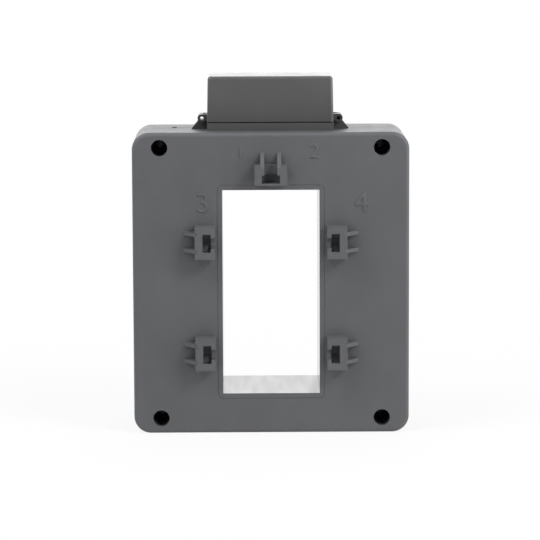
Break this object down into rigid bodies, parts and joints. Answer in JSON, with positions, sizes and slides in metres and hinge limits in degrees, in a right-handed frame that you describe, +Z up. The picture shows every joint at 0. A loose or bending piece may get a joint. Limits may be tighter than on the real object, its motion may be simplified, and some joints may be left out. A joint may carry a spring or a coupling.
{
  "type": "current transformer",
  "caption": "Window-type current transformer with a tall busbar window, clamp bosses on the front and a hinged cover over its secondary terminals.",
  "frame": {"origin": "middle of the case's flat bottom face", "axes": "+X to the right seen from the front, +Y from the front to the rear, +Z up"},
  "size_m": [0.171, 0.077, 0.2211],
  "materials": {
    "case_plastic": "satin",
    "core_steel": "satin",
    "strap_steel": "satin",
    "pin_steel": "satin",
    "wire_insulation": "matte",
    "bobbin_plastic": "matte",
    "copper_winding": "satin",
    "tape": "gloss",
    "terminal_brass": "satin",
    "plated_steel": "satin",
    "screw_steel": "satin"
  },
  "bodies": {
    "case": {"bobbin_left": "bobbin_plastic", "bobbin_right": "bobbin_plastic", "case_screw_lower_left": "screw_steel", "case_screw_lower_right": "screw_steel", "case_screw_upper_left": "screw_steel", "case_screw_upper_right": "screw_steel", "core_lower": "core_steel", "core_strap": "strap_steel", "core_upper": "core_steel", "front_shell": "case_plastic", "hinge_pin": "pin_steel", "lead_wire_left": "wire_insulation", "lead_wire_right": "wire_insulation", "link_wire": "wire_insulation", "rear_shell": "case_plastic", "strap_seal": "strap_steel", "terminal_block": "case_plastic", "terminal_plate_left": "terminal_brass", "terminal_plate_right": "terminal_brass", "winding_left": "copper_winding", "winding_right": "copper_winding", "winding_wrap_left": "tape", "winding_wrap_right": "tape"},
    "cover": {"terminal_cover": "case_plastic"},
    "washers_left": {"square_washer_left": "plated_steel", "spring_washer_left": "plated_steel"},
    "screw_left": {"terminal_screw_left": "plated_steel"},
    "washers_right": {"square_washer_right": "plated_steel", "spring_washer_right": "plated_steel"},
    "screw_right": {"terminal_screw_right": "plated_steel"}
  },
  "joints": [
    {"name": "cover_hinge", "type": "hinge", "parent": "case", "child": "cover", "pos_m": [0.0426, 0, 0.1943], "axis": [0, 1, 0], "range_deg": [0, 105]},
    {"name": "screw_lift_left", "type": "slide", "parent": "case", "child": "washers_left", "axis": [0, 0, 1], "range_m": [0, 0.0035]},
    {"name": "screw_turn_left", "type": "hinge", "parent": "washers_left", "child": "screw_left", "pos_m": [-0.018, 0, 0.1986], "axis": [0, 0, 1], "range_deg": [0, 1800]},
    {"name": "screw_lift_right", "type": "slide", "parent": "case", "child": "washers_right", "axis": [0, 0, 1], "range_m": [0, 0.0035]},
    {"name": "screw_turn_right", "type": "hinge", "parent": "washers_right", "child": "screw_right", "pos_m": [0.018, 0, 0.1986], "axis": [0, 0, 1], "range_deg": [0, 1800]}
  ],
  "couplings": [
    {"joint": "screw_lift_left", "follows": "screw_turn_left", "m_per_rad": 0.00011141},
    {"joint": "screw_lift_right", "follows": "screw_turn_right", "m_per_rad": 0.00011141}
  ]
}
